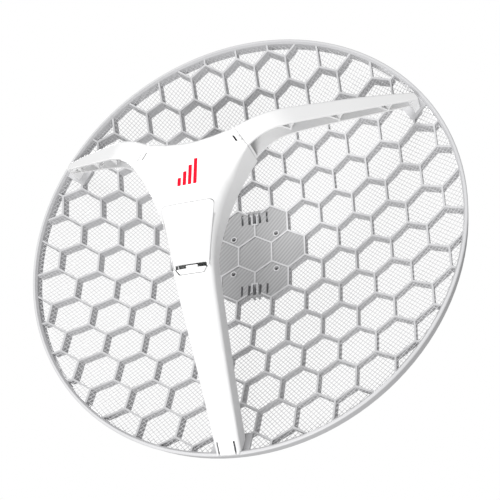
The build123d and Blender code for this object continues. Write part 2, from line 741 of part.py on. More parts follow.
def main_board():
    """The radio's circuit board."""
    outline = Polygon((-38, 27), (38, 27), (38, -8), (22, -42), (19, -96), (-19, -96), (-22, -42), (-38, -8),
                      align=None)
    board = prism(outline, BOARD_REAR, BOARD_FRONT)
    for x, y in BOARD_POSTS:
        board -= rod(1.3, (x, y, BOARD_REAR - 1), (x, y, BOARD_FRONT + 1))
    return board


def rear_screw(x, y, head_bottom, head_radius, shank_radius, length):
    """A small socket-head screw driven from the dish's side."""
    screw = rod(head_radius, (x, y, head_bottom), (x, y, head_bottom + 1.4))
    screw += rod(shank_radius, (x, y, head_bottom + 1.4), (x, y, head_bottom + length))
    socket = RegularPolygon(head_radius * 0.5, 6).moved(Location((x, y)))
    return (screw - prism(socket, head_bottom - 1, head_bottom + 0.8)).solid()


def board_screws():
    """Four small screws that hold the board to the cover's posts."""
    return Compound(children=[rear_screw(x, y, BOARD_REAR - 1.4, 2.2, 1.0, 11.0) for x, y in BOARD_POSTS])


def cover_screws():
    """Three small screws that hold the rear cover."""
    return Compound(children=[
        rear_screw(x, y, rear_depth(y) + 0.4, 2.1, 1.05, 13.0) for x, y in COVER_POSTS])


def rf_shield():
    """The pressed can over the radio chips."""
    can = block((-22, 22), (-24, 14), (BOARD_FRONT, BOARD_FRONT + 4))
    can = fillet(can.edges().filter_by(Axis.Z), 1.5)
    return can - block((-21.6, 21.6), (-23.6, 13.6), (BOARD_FRONT - 1, BOARD_FRONT + 3.6))


def feed_spacer():
    """The plastic frame that keeps the feed patch off the board."""
    frame = block((-16, 16), (-22, 10), (BOARD_REAR - 3, BOARD_REAR))
    return frame - block((-13, 13), (-19, 7), (BOARD_REAR - 4, BOARD_REAR + 1))


def feed_patch():
    """The square radiator that faces the dish."""
    patch = block((-18, 18), (-24, 12), (BOARD_REAR - 3.6, BOARD_REAR - 3))
    return chamfer(patch.edges().filter_by(Axis.Z), 3)


def ethernet_jack():
    """The shielded network jack, its mouth facing down the leg."""
    jack = block((-8, 8), (-95, -74), (BOARD_FRONT, BOARD_FRONT + 12))
    mouth = block((-5.9, 5.9), (-96, -83), (BOARD_FRONT + 1.6, BOARD_FRONT + 9.6))
    key = block((-2.2, 2.2), (-96, -83), (BOARD_FRONT + 9, BOARD_FRONT + 11))
    return jack - mouth - key


def reset_switch():
    """The fixed body of the reset button."""
    body = block((10.5, 16.5), (-68, -62), (BOARD_FRONT, BOARD_FRONT + 3.5))
    return body - rod(1.5 + GAP, (13.5, -65, BOARD_FRONT + 1), (13.5, -65, BOARD_FRONT + 5))


def reset_button():
    """The plunger of the reset button."""
    return rod(1.5, (13.5, -65, BOARD_FRONT + 2.0), (13.5, -65, BOARD_FRONT + 6.0))


def status_leds():
    """A row of small surface lamps beside the jack."""
    return Compound(children=[
        block((-16.5, -14.9), (-92 + 5 * i, -91.2 + 5 * i), (BOARD_FRONT, BOARD_FRONT + 0.8)).solid()
        for i in range(5)])


# ---------------------------------------------------------------- writing

def placed(shape):
    """From the beam frame to the part's own frame."""
    return shape.rotate(Axis.X, 90).moved(Location((0, -POLE_BEHIND, 0)))


def make_parts():
    parts = {
        "reflector_grid": reflector_grid,
        "reflector_mesh": reflector_mesh,
        "pole_bracket": pole_bracket,
        "bracket_inserts": bracket_inserts,
        "bracket_screws": bracket_screws,
        "front_cover": front_cover,
        "rear_cover": rear_cover,
        "port_door": port_door,
        "door_latch": door_latch,
        "main_board": main_board,
        "board_screws": board_screws,
        "cover_screws": cover_screws,
        "rf_shield": rf_shield,
        "feed_spacer": feed_spacer,
        "feed_patch": feed_patch,
        "ethernet_jack": ethernet_jack,
        "reset_switch": reset_switch,
        "reset_button": reset_button,
        "status_leds": status_leds,
    }
    os.makedirs("parts", exist_ok=True)
    for name, make in parts.items():
        export_step(placed(make()), "parts/" + name + ".step")
    for name, angle in ARM_ANGLES.items():
        export_step(placed(arm(angle)), "parts/" + name + ".step")
    for name, y in CLAMP_HEIGHTS.items():
        export_step(placed(clamp_band(y)), "parts/clamp_band_" + name + ".step")
        export_step(placed(clamp_housing(y)), "parts/clamp_housing_" + name + ".step")
        export_step(placed(clamp_screw(y)), "parts/clamp_screw_" + name + ".step")


make_parts()
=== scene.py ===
"""Looks of the parabolic grid antenna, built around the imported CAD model.

Shapes are worked out in the beam frame, in millimetres: x to the right, y up, z ahead of the
dish from its vertex. place() turns them into the part's own frame, in metres.
"""

import json
import math

import bpy
import numpy as np
from mathutils import Matrix, Vector
from mathutils.geometry import delaunay_2d_cdt


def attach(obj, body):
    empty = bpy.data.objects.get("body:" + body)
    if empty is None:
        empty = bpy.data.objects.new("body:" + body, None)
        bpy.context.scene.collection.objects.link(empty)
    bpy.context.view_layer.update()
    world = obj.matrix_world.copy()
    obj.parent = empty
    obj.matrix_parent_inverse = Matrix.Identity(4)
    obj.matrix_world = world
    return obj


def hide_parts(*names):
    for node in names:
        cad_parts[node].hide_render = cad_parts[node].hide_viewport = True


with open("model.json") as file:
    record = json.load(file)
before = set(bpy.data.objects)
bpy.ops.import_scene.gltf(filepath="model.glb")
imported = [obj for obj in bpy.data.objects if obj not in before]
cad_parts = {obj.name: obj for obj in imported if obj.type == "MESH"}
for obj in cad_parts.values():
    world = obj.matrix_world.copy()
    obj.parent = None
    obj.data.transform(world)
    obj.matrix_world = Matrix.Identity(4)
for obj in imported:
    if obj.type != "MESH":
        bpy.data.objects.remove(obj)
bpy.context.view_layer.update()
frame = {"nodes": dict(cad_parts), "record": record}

# Dish. The names that start with HUB_ are in metres, like the material that uses them.
FOCAL_LENGTH = 221.0
CELL_PITCH = 45.0
DISH_INNER_RADIUS = 270.0
MESH_SINK = 1.2
WIRE_PITCH = 4.18
WIRE_RADIUS = 0.3
WIRE_SIDES = 6
WIRE_STEP = 2.0
WIRE_STRIDE = 7
FRONT_WIRES_DOWN = 0.15
REAR_WIRES_DOWN = 0.65
MESH_EDGE_GAP = 0.4
PLATE_REACH_IN_CELLS = 1.1
BRIDGE_HALF_WIDTH = 13
BRIDGE_START = 46
BRIDGE_END = 60
HUB_REACH = 0.078
HUB_HATCH_PITCH = 0.0042
HUB_SUNK_FROM = 0.0009
HUB_SUNK_TO = 0.0016
PAD_START = 248.0
PAD_SIDES = {270: (-21.5, 21.5), 30: (-17.5, 8.0), 150: (-8.0, 17.5)}
POLE_BEHIND = 25.0 + 21.2 * math.sqrt(2)

# Head, leg and door
HEAD_FRONT = 218.7
HEAD_REAR = 184.0
LEG_SLOPE = 0.69
LEG_FOOT_RADIUS = 270.5
LEG_FOOT_FRONT = 91.2
LEG_BEND_RADIUS = 200.0
ARM_BEND_RADIUS = 150.0
HEAD_TOP = 44.1
LEG_CROWN = 0.9
BLEND = 0.5
SEAM_FOOT = (66.7, 15.5)
SEAM_RUN = 16.3
SEAM_RISE = 28.6
LEG_END_HALF_WIDTH = 11.8
LEG_END = -273.6
REAR_COVER_FOOT = -246
REAR_COVER_FOOT_DEPTH = 80.4
DISH_CLEARANCE = 0.1
SLIT_START = 58.2
SLIT_END = 60.2
SLIT_LOW = -7.6
SLIT_HIGH = 2.2
WALL_SLANT = 1.1
ROUNDING = [math.radians(angle) for angle in (0, 10, 22, 34, 46, 58, 70, 80, 90)]
DOOR_TOP = -40.6
DOOR_BOTTOM = -113.2
DOOR_HALF_TOP = 30.2
DOOR_HALF_WAIST = 19.4
DOOR_WAIST = -105.2
DOOR_HALF_BOTTOM = 13.6
DOOR_CORNER = 4.5
LATCH_TOP = -103.5
LATCH_SLOT_BOTTOM = -107.4
PAD_HALF = 16.2
PAD_BOTTOM = -112.5
GAP = 0.38

# Studio, in metres
FLOOR_LEVEL = -3.2


def place(x, y, z):
    """From the beam frame in millimetres to the part's frame in metres."""
    return Vector((x / 1000, -(z + POLE_BEHIND) / 1000, y / 1000))


def dish_depth(x, y):
    """How far the dish's surface is ahead of its vertex."""
    return (x * x + y * y) / (4 * FOCAL_LENGTH)


def mesh_object(name, verts, faces, material, smooth=True):
    """A mesh piece from beam-frame points."""
    mesh = bpy.data.meshes.new(name)
    mesh.from_pydata([place(*v) for v in verts], [], faces)
    mesh.validate()
    piece = bpy.data.objects.new(name, mesh)
    bpy.context.scene.collection.objects.link(piece)
    mesh.materials.append(material)
    if smooth:
        mesh.polygons.foreach_set("use_smooth", [True] * len(mesh.polygons))
    return piece


# ---------------------------------------------------------------- materials

def new_material(name, color, roughness, metallic=0.0):
    """A plain material, with its node tree and its shader."""
    material = bpy.data.materials.new(name)
    material.use_nodes = True
    shader = material.node_tree.nodes["Principled BSDF"]
    shader.inputs["Base Color"].default_value = (*color, 1)
    shader.inputs["Roughness"].default_value = roughness
    shader.inputs["Metallic"].default_value = metallic
    return material, material.node_tree, shader


def add_noise(tree, scale, detail=3.0):
    """Noise in the object's own coordinates."""
    coords = tree.nodes.new("ShaderNodeTexCoord")
    noise = tree.nodes.new("ShaderNodeTexNoise")
    noise.inputs["Scale"].default_value = scale
    noise.inputs["Detail"].default_value = detail
    tree.links.new(coords.outputs["Object"], noise.inputs["Vector"])
    return noise


def vary_color(tree, shader, noise, dark, light):
    """Let a noise drive the base colour between two tones."""
    ramp = tree.nodes.new("ShaderNodeValToRGB")
    ramp.color_ramp.elements[0].position = 0.3
    ramp.color_ramp.elements[0].color = (*dark, 1)
    ramp.color_ramp.elements[1].position = 0.7
    ramp.color_ramp.elements[1].color = (*light, 1)
    tree.links.new(noise.outputs["Fac"], ramp.inputs["Fac"])
    tree.links.new(ramp.outputs["Color"], shader.inputs["Base Color"])


def vary_roughness(tree, shader, noise, low, high):
    """Let a noise drive the roughness between two values."""
    span = tree.nodes.new("ShaderNodeMapRange")
    span.inputs["To Min"].default_value = low
    span.inputs["To Max"].default_value = high
    tree.links.new(noise.outputs["Fac"], span.inputs["Value"])
    tree.links.new(span.outputs["Result"], shader.inputs["Roughness"])


def add_bump(tree, shader, height_socket, strength, distance):
    """Bump the surface with a height."""
    bump = tree.nodes.new("ShaderNodeBump")
    bump.inputs["Strength"].default_value = strength
    bump.inputs["Distance"].default_value = distance
    tree.links.new(height_socket, bump.inputs["Height"])
    tree.links.new(bump.outputs["Normal"], shader.inputs["Normal"])


def moulded_plastic(name, dark, light, low, high, grain, strength):
    """Moulded plastic: slow colour drift, fine grain in the bump and uneven gloss."""
    material, tree, shader = new_material(name, light, low)
    vary_color(tree, shader, add_noise(tree, 14.0), dark, light)
    vary_roughness(tree, shader, add_noise(tree, 60.0), low, high)
    fine = add_noise(tree, grain, 2.0)
    add_bump(tree, shader, fine.outputs["Fac"], strength, 0.0002)
    return material


def dish_material():
    """The dish's grey plastic, darker and faintly hatched on the hub's sunk cells."""
    material = moulded_plastic("dish_plastic", (0.52, 0.52, 0.53), (0.56, 0.56, 0.57), 0.42, 0.52, 2600, 0.12)
    tree = material.node_tree
    shader = tree.nodes["Principled BSDF"]
    plain = shader.inputs["Base Color"].links[0].from_socket

    def math_node(operation, a, b):
        """One arithmetic step on two sockets or numbers."""
        node = tree.nodes.new("ShaderNodeMath")
        node.operation = operation
        for socket, value in zip(node.inputs, (a, b)):
            if isinstance(value, float):
                socket.default_value = value
            else:
                tree.links.new(value, socket)
        return node.outputs["Value"]

    split = tree.nodes.new("ShaderNodeSeparateXYZ")
    coords = tree.nodes.new("ShaderNodeTexCoord")
    tree.links.new(coords.outputs["Object"], split.inputs["Vector"])
    x, back, up = split.outputs
    square = math_node("ADD", math_node("MULTIPLY", x, x), math_node("MULTIPLY", up, up))
    ahead = math_node("SUBTRACT", math_node("MULTIPLY", back, -1.0), POLE_BEHIND / 1000)
    sink = math_node("SUBTRACT", math_node("MULTIPLY", square, 1000 / (4 * FOCAL_LENGTH)), ahead)
    sunk = math_node("GREATER_THAN", sink, HUB_SUNK_FROM)
    shallow = math_node("LESS_THAN", sink, HUB_SUNK_TO)
    near = math_node("LESS_THAN", square, HUB_REACH ** 2)
    mask = math_node("MULTIPLY", math_node("MULTIPLY", sunk, shallow), near)
    waves = 2 * math.pi / (HUB_HATCH_PITCH * math.sqrt(2))
    phase = math_node("MULTIPLY", math_node("SUBTRACT", x, up), waves)
    wave = math_node("SINE", phase, 0.0)
    hatch = tree.nodes.new("ShaderNodeValToRGB")
    hatch.color_ramp.elements[0].position = 0.35
    hatch.color_ramp.elements[0].color = (0.28, 0.28, 0.285, 1)
    hatch.color_ramp.elements[1].position = 0.75
    hatch.color_ramp.elements[1].color = (0.37, 0.37, 0.375, 1)
    tree.links.new(math_node("MULTIPLY_ADD", wave, 0.5), hatch.inputs["Fac"])
    hatch.inputs["Fac"].links[0].from_node.inputs[2].default_value = 0.5
    mix = tree.nodes.new("ShaderNodeMix")
    mix.data_type = "RGBA"
    tree.links.new(mask, mix.inputs["Factor"])
    tree.links.new(plain, mix.inputs["A"])
    tree.links.new(hatch.outputs["Color"], mix.inputs["B"])
    tree.links.new(mix.outputs["Result"], shader.inputs["Base Color"])
    return material


def red_print():
    """Flat red ink, with little shine."""
    material = moulded_plastic("red_print", (0.86, 0.0, 0.018), (0.92, 0.001, 0.024), 0.55, 0.65, 3200, 0.04)
    material.node_tree.nodes["Principled BSDF"].inputs["Specular IOR Level"].default_value = 0.1
    return material


def brushed_metal(name, dark, light, low, high):
    """Metal with fine streaks in its colour, gloss and bump."""
    material, tree, shader = new_material(name, light, low, 1.0)
    coords = tree.nodes.new("ShaderNodeTexCoord")
    mapping = tree.nodes.new("ShaderNodeMapping")
    mapping.inputs["Scale"].default_value = (60, 60, 2400)
    noise = tree.nodes.new("ShaderNodeTexNoise")
    noise.inputs["Scale"].default_value = 1.0
    tree.links.new(coords.outputs["Object"], mapping.inputs["Vector"])
    tree.links.new(mapping.outputs["Vector"], noise.inputs["Vector"])
    vary_color(tree, shader, noise, dark, light)
    vary_roughness(tree, shader, noise, low, high)
    add_bump(tree, shader, noise.outputs["Fac"], 0.15, 0.0001)
    return material


DISH = dish_material()
WHITE = moulded_plastic("white_plastic", (0.88, 0.88, 0.885), (0.91, 0.91, 0.91), 0.26, 0.34, 3200, 0.06)
BRACKET = moulded_plastic("bracket_plastic", (0.50, 0.51, 0.52), (0.56, 0.57, 0.58), 0.45, 0.60, 2200, 0.25)
BLACK = moulded_plastic("black_plastic", (0.015, 0.015, 0.016), (0.03, 0.03, 0.03), 0.40, 0.55, 2600, 0.15)
WIRE = moulded_plastic("mesh_wire", (0.55, 0.55, 0.56), (0.60, 0.60, 0.61), 0.40, 0.50, 2600, 0.05)
RED = red_print()
BOARD = moulded_plastic("board_laminate", (0.01, 0.10, 0.035), (0.02, 0.16, 0.06), 0.30, 0.42, 1200, 0.15)
STEEL = brushed_metal("clamp_steel", (0.50, 0.50, 0.49), (0.64, 0.64, 0.62), 0.24, 0.38)
ZINC = brushed_metal("screw_steel", (0.42, 0.42, 0.41), (0.56, 0.56, 0.55), 0.28, 0.42)
BRASS = brushed_metal("insert_brass", (0.62, 0.45, 0.18), (0.75, 0.58, 0.27), 0.25, 0.38)
COPPER = brushed_metal("patch_copper", (0.66, 0.36, 0.20), (0.80, 0.48, 0.30), 0.24, 0.36)
TIN = brushed_metal("shield_steel", (0.60, 0.60, 0.58), (0.72, 0.72, 0.70), 0.26, 0.40)
LAMP, _, _ = new_material("lamp", (0.80, 0.85, 0.75), 0.2)

MATERIAL_OF_SLOT = {
    "dish_plastic": DISH, "mesh_wire": WIRE, "cover_plastic": WHITE, "bracket_plastic": BRACKET,
    "clamp_steel": STEEL, "screw_steel": ZINC, "insert_brass": BRASS, "board_laminate": BOARD,
    "patch_copper": COPPER, "shield_steel": TIN, "jack_metal": TIN, "black_plastic": BLACK, "lamp": LAMP,
}


def dress_cad_nodes():
    """Give every CAD node the material of its record slot."""
    slot_of_node = {part["node"]: part["material_slot"] for part in frame["record"]["subparts"]}
    for name, node in frame["nodes"].items():
        material = MATERIAL_OF_SLOT[slot_of_node[name]]
        for slot in node.material_slots:
            slot.material = material


# ---------------------------------------------------------------- wire mesh

def cell_of(x, y):
    """Centre of the honeycomb cell that holds a point."""
    row_pitch = CELL_PITCH * math.sqrt(3) / 2
    best = None
    near_row = round(y / row_pitch)
    for row in (near_row - 1, near_row, near_row + 1):
        shift = 0.5 * (row % 2)
        column = round(x / CELL_PITCH - shift)
        centre = ((column + shift) * CELL_PITCH, row * row_pitch)
        gap = math.hypot(x - centre[0], y - centre[1])
        if best is None or gap < best[0]:
            best = (gap, centre)
    return best[1]


def is_open(x, y):
    """Whether the mesh shows at a point: inside the rim, and off the hub, its bridges and the foot pads."""
    if math.hypot(x, y) > DISH_INNER_RADIUS - MESH_EDGE_GAP:
        return False
    if math.hypot(*cell_of(x, y)) < PLATE_REACH_IN_CELLS * CELL_PITCH:
        return False
    if abs(x) < BRIDGE_HALF_WIDTH and BRIDGE_START < abs(y) < BRIDGE_END:
        return False
    for angle, (low, high) in PAD_SIDES.items():
        turn = math.radians(angle)
        along = x * math.cos(turn) + y * math.sin(turn)
        across = y * math.cos(turn) - x * math.sin(turn)
        if along > PAD_START and low < across < high:
            return False
    return True


def wire_runs(direction):
    """Points of each stretch of wire, for one of the mesh's two directions."""
    reach = int(DISH_INNER_RADIUS // WIRE_PITCH)
    for index in range(-reach, reach + 1):
        offset = (index + 0.5) * WIRE_PITCH
        run = []
        first = int(-DISH_INNER_RADIUS // WIRE_STEP)
        last = int(DISH_INNER_RADIUS // WIRE_STEP) + 1
        for count in range(first, last + 1):
            along = count * WIRE_STEP
            x = (along - direction * offset) * math.sqrt(0.5)
            y = (direction * along + offset) * math.sqrt(0.5)
            if is_open(x, y):
                run.append((x, y))
            elif run:
                yield run
                run = []
        if run:
            yield run


def wire_mesh():
    """The dish's wires, in two crossing layers that follow its curve."""
    verts, faces = [], []
    for direction, level in ((1, -MESH_SINK - FRONT_WIRES_DOWN), (-1, -MESH_SINK - REAR_WIRES_DOWN)):
        for run in wire_runs(direction):
            if len(run) < 2:
                continue
            points = run[::WIRE_STRIDE]
            if run[-1] != points[-1]:
                points.append(run[-1])
            across = Vector((1, -direction, 0)).normalized()
            first = len(verts)
            for x, y in points:
                slope = Vector((x, y, -2 * FOCAL_LENGTH)) / (2 * FOCAL_LENGTH)
                side = across - slope * (across.dot(slope) / slope.length_squared)
                side.normalize()
                up = -slope.normalized()
                centre = Vector((x, y, dish_depth(x, y) + level))
                for corner in range(WIRE_SIDES):
                    angle = 2 * math.pi * corner / WIRE_SIDES
                    verts.append(centre + WIRE_RADIUS * (math.cos(angle) * side + math.sin(angle) * up))
            last = first + WIRE_SIDES * (len(points) - 1)
            for base in range(first, last, WIRE_SIDES):
                for corner in range(WIRE_SIDES):
                    after = (corner + 1) % WIRE_SIDES
                    ahead = base + WIRE_SIDES
                    faces.append((base + corner, base + after, ahead + after, ahead + corner))
            faces.append(tuple(first + corner for corner in reversed(range(WIRE_SIDES))))
            faces.append(tuple(last + corner for corner in range(WIRE_SIDES)))
    piece = mesh_object("wire_mesh", verts, faces, WIRE)
    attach(piece, "antenna")
    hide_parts("reflector_mesh")


# ---------------------------------------------------------------- outlines

def arc(start, through, end, count):
    """Points along the circle from start through a point to end."""
    (ax, ay), (bx, by), (cx, cy) = start, through, end
    twice = 2 * (ax * (by - cy) + bx * (cy - ay) + cx * (ay - by))
    a, b, c = ax * ax + ay * ay, bx * bx + by * by, cx * cx + cy * cy
    x = (a * (by - cy) + b * (cy - ay) + c * (ay - by)) / twice
    y = (a * (cx - bx) + b * (ax - cx) + c * (bx - ax)) / twice
    radius = math.hypot(ax - x, ay - y)
    first, middle, last = [math.atan2(q - y, p - x) for p, q in (start, through, end)]
    sweep = (last - first) % (2 * math.pi)
    if (middle - first) % (2 * math.pi) > sweep:
        sweep -= 2 * math.pi
    angles = [first + sweep * i / count for i in range(count + 1)]
    return [(x + radius * math.cos(angle), y + radius * math.sin(angle)) for angle in angles]


def divided(loop, longest=4.0):
    """The closed loop with its long sides cut into steps."""
    points = []
    for (ax, ay), (bx, by) in zip(loop, loop[1:] + loop[:1]):
        steps = max(1, math.ceil(math.hypot(bx - ax, by - ay) / longest))
        points += [(ax + (bx - ax) * i / steps, ay + (by - ay) * i / steps) for i in range(steps)]
    return points


def rounded(corners, count=5):
    """A closed loop from (x, y, corner radius) points, listed anticlockwise."""
    loop = []
    for before, (x, y, radius), after in zip(corners[-1:] + corners[:-1], corners, corners[1:] + corners[:1]):
        corner = Vector((x, y))
        back = (Vector(before[:2]) - corner).normalized()
        ahead = (Vector(after[:2]) - corner).normalized()
        half = back.angle(ahead) / 2
        reach = radius / math.tan(half)
        middle = corner + (back + ahead).normalized() * radius * (1 / math.sin(half) - 1)
        start, end = corner + back * reach, corner + ahead * reach
        loop += arc(tuple(start), tuple(middle), tuple(end), count)
    return loop


def mirrored(loop):
    """The loop seen in a mirror, still anticlockwise."""
    return [(-x, y) for x, y in reversed(loop)]


def inside(x, y, loop):
    """Whether a point is inside a closed loop."""
    odd = False
    for (ax, ay), (bx, by) in zip(loop, loop[1:] + loop[:1]):
        if (ay > y) != (by > y) and x < ax + (y - ay) * (bx - ax) / (by - ay):
            odd = not odd
    return odd


def inward_normals(loop):
    """Unit vectors into an anticlockwise loop at each of its points."""
    normals = []
    for before, after in zip(loop[-1:] + loop[:-1], loop[1:] + loop[:1]):
        along = (Vector(after) - Vector(before)).normalized()
        normals.append(Vector((-along.y, along.x)))
    return normals


# ---------------------------------------------------------------- head surfaces

def bend(distance, radius):
    """Depth of a surface that is level to begin with and then bends down to a foot."""
    line_at_zero = LEG_FOOT_FRONT + LEG_SLOPE * LEG_FOOT_RADIUS
    corner = (line_at_zero - HEAD_FRONT) / LEG_SLOPE
    start = corner - radius * math.tan(math.atan(LEG_SLOPE) / 2)
    end = start + radius * math.sin(math.atan(LEG_SLOPE))
    if distance <= start:
        return HEAD_FRONT
    if distance >= end:
        return line_at_zero - LEG_SLOPE * distance
    return HEAD_FRONT - radius + math.sqrt(radius ** 2 - (distance - start) ** 2)


def leg_side():
    """The right side of the head and leg, from the foot up to the seam."""
    leg = arc((13.9, -269.6), (17.3, -190), (23, -104), 36)
    flare = arc((23, -104), (31.2, -60), SEAM_FOOT, 36)
    return leg + flare[1:]


LEG_SIDE = leg_side()
SIDE_RADII = [float(np.interp(y, [-270, -104, -60, -20, 15.5], [6, 9, 15, 14, 2.5])) for x, y in LEG_SIDE]
HEAD_EDGE = arc((50.4, HEAD_TOP), (25.5, 37.3), (0, 35), 14)
TOP_RADII = [5.0] * len(HEAD_EDGE)


def half_width(y):
    """Half the width of the head and leg at a height."""
    return float(np.interp(y, [q for p, q in LEG_SIDE], [p for p, q in LEG_SIDE]))


def front_depth(x, y):
    """Depth of the head's front: three bent surfaces that melt into one another, with a slight crown."""
    depths = [bend(-y, LEG_BEND_RADIUS)]
    for angle in (30, 150):
        turn = math.radians(angle)
        depths.append(bend(x * math.cos(turn) + y * math.sin(turn), ARM_BEND_RADIUS))
    depth = -BLEND * math.log(sum(math.exp(-(d - HEAD_FRONT) / BLEND) for d in depths)) + HEAD_FRONT
    share = float(np.interp(y, [-60, 0], [1, 0]))
    return depth - share * LEG_CROWN * (x / half_width(y)) ** 2


def shoulder_drop(x, y, edge, radii):
    """How far a rounded edge has fallen at a point beside it."""
    starts, ends = np.array(edge[:-1]), np.array(edge[1:])
    along = ends - starts
    share = ((np.array((x, y)) - starts) * along).sum(1) / (along ** 2).sum(1)
    share = np.clip(share, 0, 1)
    gaps = np.hypot(*(starts + along * share[:, None] - (x, y)).T)
    near = int(gaps.argmin())
    radius = radii[near] + (radii[near + 1] - radii[near]) * share[near]
    inset = min(gaps[near], radius)
    return radius - math.sqrt(max(radius ** 2 - (radius - inset) ** 2, 0))


def head_depth(x, y):
    """Depth of the head and leg's front with its rounded shoulders."""
    drop = max(shoulder_drop(abs(x), y, LEG_SIDE, SIDE_RADII), shoulder_drop(abs(x), y, HEAD_EDGE, TOP_RADII))
    return front_depth(x, y) - drop


def rear_depth(x, y):
    """Where the side walls end: level with the rear cover, or on the dish at the foot."""
    fall = REAR_COVER_FOOT_DEPTH + LEG_SLOPE * (y - REAR_COVER_FOOT)
    return max(min(HEAD_REAR, fall), dish_depth(x, y) + DISH_CLEARANCE)


def skin(loop, radii, height, holes=(), floor_of=None, thickness=1.8, spacing=2.5):
    """A closed shell under a surface, with rounded edges and, with a floor, side walls down to it.

    Every point of the outer face has its twin on the inner face."""
    normals = inward_normals(loop)
    outer, inner, rows = [], [], []
    depth = thickness * (WALL_SLANT if floor_of else 1)

    def add(point, twin):
        """Keep a point of the outer face with its twin, and give its number."""
        outer.append(point)
        inner.append(twin)
        return len(outer) - 1

    if floor_of:
        row = []
        for (x, y), normal in zip(loop, normals):
            u, v = x + normal.x * thickness, y + normal.y * thickness
            row.append(add((x, y, floor_of(x, y)), (u, v, floor_of(x, y))))
        rows.append(row)
    for angle in ROUNDING[:4] if floor_of else ROUNDING:
        row = []
        for (x, y), normal, radius in zip(loop, normals, radii):
            run, fall = radius * (1 - math.cos(angle)), radius * (1 - math.sin(angle))
            p, q = x + normal.x * run, y + normal.y * run
            if floor_of:
                point = (p, q, front_depth(p, q) - fall)
                small = max(radius - thickness, 0.3)
                run, fall = thickness + small * (1 - math.cos(angle)), small * (1 - math.sin(angle))
                u, v = x + normal.x * run, y + normal.y * run
                twin = (u, v, front_depth(u, v) - depth - fall)
            else:
                point = (p, q, height(p, q) - fall)
                twin = (p, q, height(p, q) - thickness)
            row.append(add(point, twin))
        rows.append(row)

    edge = [outer[i][:2] for i in rows[-1]]
    flat = [Vector(p) for p in edge]
    index = list(rows[-1])
    limits = [list(range(len(edge)))]
    for hole in holes:
        first = len(flat)
        for x, y in hole:
            flat.append(Vector((x, y)))
            index.append(add((x, y, height(x, y)), (x, y, height(x, y) - depth)))
        limits.append(list(range(first, first + len(hole))))
    borders = np.array([tuple(p) for p in flat] + [inner[i][:2] for i in rows[-1]])
    xs, ys = [p for p, q in edge], [q for p, q in edge]
    for i in range(int(min(xs) // spacing), int(max(xs) // spacing) + 2):
        for j in range(int(min(ys) // spacing), int(max(ys) // spacing) + 2):
            x, y = (i + 0.5 * (j % 2)) * spacing, j * spacing
            if np.hypot(*(borders - (x, y)).T).min() < 0.6 * spacing or not inside(x, y, edge):
                continue
            if any(inside(x, y, hole) for hole in holes):
                continue
            flat.append(Vector((x, y)))
            index.append(add((x, y, height(x, y)), (x, y, height(x, y) - depth)))
    sides = [pair for limit in limits for pair in zip(limit, limit[1:] + limit[:1])]
    result = delaunay_2d_cdt(flat, sides, [], 0, 1e-7)
    faces = []
    for triangle in result[2]:
        corners = [result[3][i][0] for i in triangle]
        x = sum(flat[i].x for i in corners) / 3
        y = sum(flat[i].y for i in corners) / 3
        if inside(x, y, edge) and not any(inside(x, y, hole) for hole in holes):
            faces.append(tuple(index[i] for i in corners))

    for low, high in zip(rows, rows[1:]):
        for i in range(len(low)):
            j = (i + 1) % len(low)
            faces.append((low[i], low[j], high[j], high[i]))
    total = len(outer)
    faces += [tuple(total + i for i in reversed(face)) for face in faces]
    rims = [list(reversed(rows[0]))] + [[index[i] for i in limit] for limit in limits[1:]]
    for rim in rims:
        for a, b in zip(rim, rim[1:] + rim[:1]):
            faces.append((a, b, total + b, total + a))
    return outer + inner, faces


def shell_piece(name, shape, material, body, node=None):
    """A piece from a closed shell, smooth apart from its real edges."""
    piece = mesh_object(name, *shape, material)
    piece.data.set_sharp_from_angle(angle=math.radians(38))
    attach(piece, body)
    if node:
        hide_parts(node)
    return piece


def door_loop(grow=0.0):
    """The port door's edge: a trapezium with rounded corners, wide end up."""
    return divided(rounded([
        (DOOR_HALF_TOP + grow, DOOR_TOP + grow, DOOR_CORNER),
        (-DOOR_HALF_TOP - grow, DOOR_TOP + grow, DOOR_CORNER),
        (-DOOR_HALF_WAIST - grow, DOOR_WAIST, DOOR_CORNER),
        (-DOOR_HALF_BOTTOM - grow, DOOR_BOTTOM - grow, 2.0),
        (DOOR_HALF_BOTTOM + grow, DOOR_BOTTOM - grow, 2.0),
        (DOOR_HALF_WAIST + grow, DOOR_WAIST, DOOR_CORNER)]))


def release_slits():
    """The narrow slits over the arms' snap hooks."""
    turn = math.radians(30)
    corners = [(SLIT_START, SLIT_LOW), (SLIT_END, SLIT_LOW), (SLIT_END, SLIT_HIGH), (SLIT_START, SLIT_HIGH)]
    slit = []
    for s, t in corners:
        slit.append((s * math.cos(turn) - t * math.sin(turn), s * math.sin(turn) + t * math.cos(turn)))
    return [divided(slit), divided(mirrored(slit))]


def cover_outline():
    """The closed edge of the head and leg, with the shoulder's radius at each point."""
    x, y = SEAM_FOOT
    seam = [(x - SEAM_RUN * i / 6, y + SEAM_RISE * i / 6) for i in range(1, 6)]
    half = [(LEG_END_HALF_WIDTH, LEG_END)] + LEG_SIDE + seam + HEAD_EDGE
    radii = [1.5] + SIDE_RADII + [0.4] * len(seam) + [2.0] + TOP_RADII[1:]
    sole = [(-LEG_END_HALF_WIDTH + 2 * LEG_END_HALF_WIDTH * i / 6, LEG_END) for i in range(1, 6)]
    loop = half + mirrored(half[:-1]) + sole
    return loop, radii + radii[-2::-1] + [1.5] * len(sole)


def cut(piece, cutter):
    """Cut one closed shape out of a piece."""
    step = piece.modifiers.new("cut", "BOOLEAN")
    step.operation = "DIFFERENCE"
    step.solver = "EXACT"
    step.object = cutter
    graph = bpy.context.evaluated_depsgraph_get()
    done = bpy.data.meshes.new_from_object(piece.evaluated_get(graph))
    piece.modifiers.remove(step)
    piece.data = done
    bpy.data.objects.remove(cutter)


